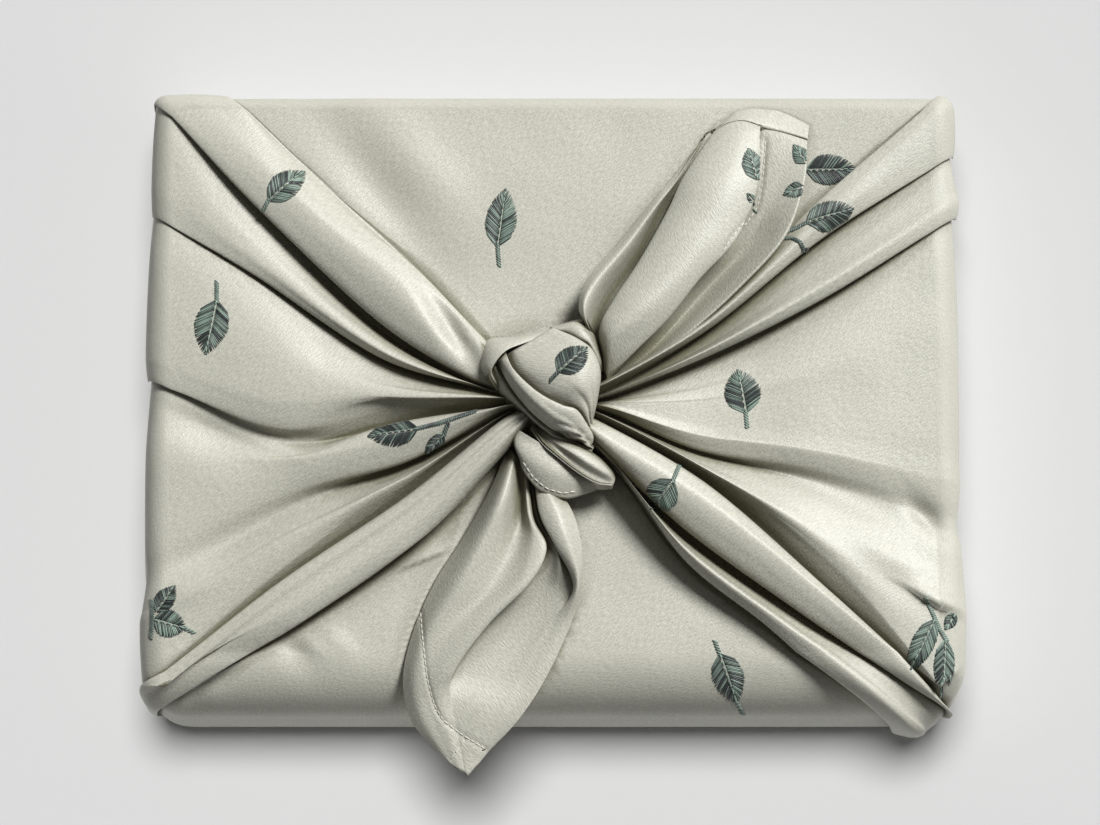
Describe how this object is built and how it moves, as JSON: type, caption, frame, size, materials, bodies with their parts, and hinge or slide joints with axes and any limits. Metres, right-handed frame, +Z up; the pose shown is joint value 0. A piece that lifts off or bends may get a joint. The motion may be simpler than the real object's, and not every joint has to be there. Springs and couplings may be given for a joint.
{
  "type": "furoshiki wrap",
  "caption": "Square cotton furoshiki folded round a flat parcel, its corners gathered in long folds to a knot on top with two free tails.",
  "frame": {"origin": "on the surface below the middle of the wrapped parcel", "axes": "+X along the parcel's long side, +Y towards its back edge, +Z up through the knot"},
  "size_m": [0.2847, 0.2397, 0.0781],
  "materials": {
    "sage_sateen": "satin-faced cotton in pale sage ivory, with dark green embroidered leaves"
  },
  "bodies": {
    "root": {"furoshiki_cloth": "sage_sateen"}
  },
  "joints": []
}
